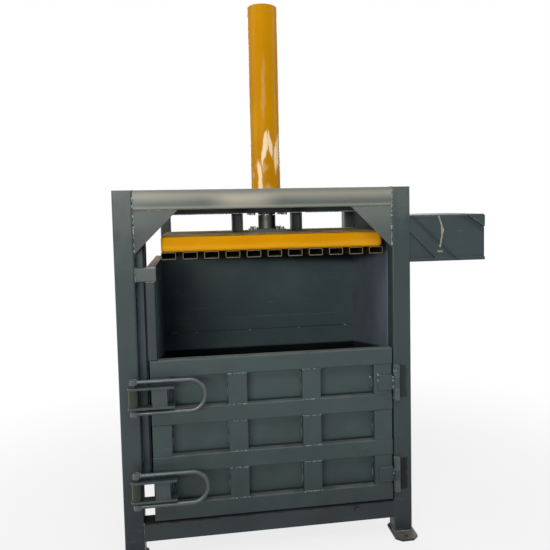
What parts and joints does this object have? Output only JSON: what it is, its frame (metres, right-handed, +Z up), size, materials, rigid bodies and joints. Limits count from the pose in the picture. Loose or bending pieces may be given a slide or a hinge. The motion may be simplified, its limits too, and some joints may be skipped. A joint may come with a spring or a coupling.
{
  "type": "recycling_baler",
  "caption": "Upright hydraulic baling press with a welded steel frame, front bale door with swinging U-handle latches, a tube-faced platen and a cylinder standing on top.",
  "frame": {"origin": "On the floor, under the middle of the part's bounding box", "axes": "+Z up along the columns, -Y is the feed and door side, +X is the hinge side of the door, towards the side tank"},
  "size_m": [1.576, 0.926, 2.345],
  "materials": {
    "frame_paint": "dark grey-green semi-gloss paint",
    "chamber_sheet": "dark blue-green paint on rolled sheet",
    "platen_yellow": "golden yellow gloss paint",
    "cylinder_yellow": "golden yellow gloss paint",
    "platen_steel": "grey-brown primer",
    "rod_chrome": "hard chrome, ground",
    "fastener_steel": "zinc plated",
    "machined_iron": "turned, lightly oiled",
    "seal_rubber": "black seal ring"
  },
  "bodies": {
    "frame": {"chamber_floor": "chamber_sheet", "corner_gussets": "frame_paint", "cylinder_barrel": "cylinder_yellow", "cylinder_bolts": "fastener_steel", "cylinder_cross_beams": "frame_paint", "cylinder_end_cap": "cylinder_yellow", "cylinder_flange": "cylinder_yellow", "cylinder_gland": "machined_iron", "cylinder_mounting_plate": "frame_paint", "floor_joists": "frame_paint", "foot_plates": "frame_paint", "front_left_column": "frame_paint", "front_right_column": "frame_paint", "front_sill": "frame_paint", "front_top_beam": "frame_paint", "hinge_column_knuckles": "frame_paint", "hinge_pins": "fastener_steel", "jamb_cap": "frame_paint", "jamb_stile": "frame_paint", "jamb_strip": "frame_paint", "left_side_wall": "chamber_sheet", "oil_port_bosses": "cylinder_yellow", "rear_columns": "frame_paint", "rear_lower_panel": "chamber_sheet", "rear_panel_rail": "frame_paint", "rear_sill": "frame_paint", "rear_top_beam": "frame_paint", "rear_upper_panel": "chamber_sheet", "rear_wall_ribs": "frame_paint", "right_side_wall": "chamber_sheet", "side_sills": "frame_paint", "side_tank": "frame_paint", "side_top_beams": "frame_paint", "side_wall_ribs": "frame_paint", "side_wall_top_rails": "frame_paint", "sill_stop_stud": "fastener_steel", "tank_brackets": "frame_paint", "tank_front_ribs": "frame_paint", "tank_lid": "frame_paint"},
    "platen": {"piston": "machined_iron", "piston_rod": "rod_chrome", "piston_seal": "seal_rubber", "platen_front_beam": "platen_yellow", "platen_inner_plates": "platen_steel", "platen_posts": "platen_yellow", "platen_rear_beam": "platen_yellow", "platen_side_beams": "platen_yellow", "platen_top_plate": "platen_steel", "platen_tubes": "platen_steel", "rod_hub": "machined_iron", "rod_hub_bolts": "fastener_steel"},
    "door": {"door_rails": "frame_paint", "door_skin": "frame_paint", "door_uprights": "frame_paint", "hinge_door_leaves": "frame_paint", "latch_brackets": "frame_paint"},
    "upper_latch": {"upper_latch_cam": "frame_paint", "upper_latch_handle": "frame_paint"},
    "lower_latch": {"lower_latch_cam": "frame_paint", "lower_latch_handle": "frame_paint"}
  },
  "joints": [
    {"name": "platen_press", "type": "slide", "parent": "frame", "child": "platen", "axis": [0, 0, -1], "range_m": [0, 0.7]},
    {"name": "door_swing", "type": "hinge", "parent": "frame", "child": "door", "pos_m": [0.378, -0.403, 0.45], "axis": [0, 0, 1], "range_deg": [0, 120]},
    {"name": "upper_latch_swing", "type": "hinge", "parent": "door", "child": "upper_latch", "pos_m": [-0.716, -0.439, 0.697], "axis": [0, 0, -1], "range_deg": [-7.5, 170]},
    {"name": "lower_latch_swing", "type": "hinge", "parent": "door", "child": "lower_latch", "pos_m": [-0.716, -0.439, 0.316], "axis": [0, 0, -1], "range_deg": [-7.5, 170]}
  ]
}
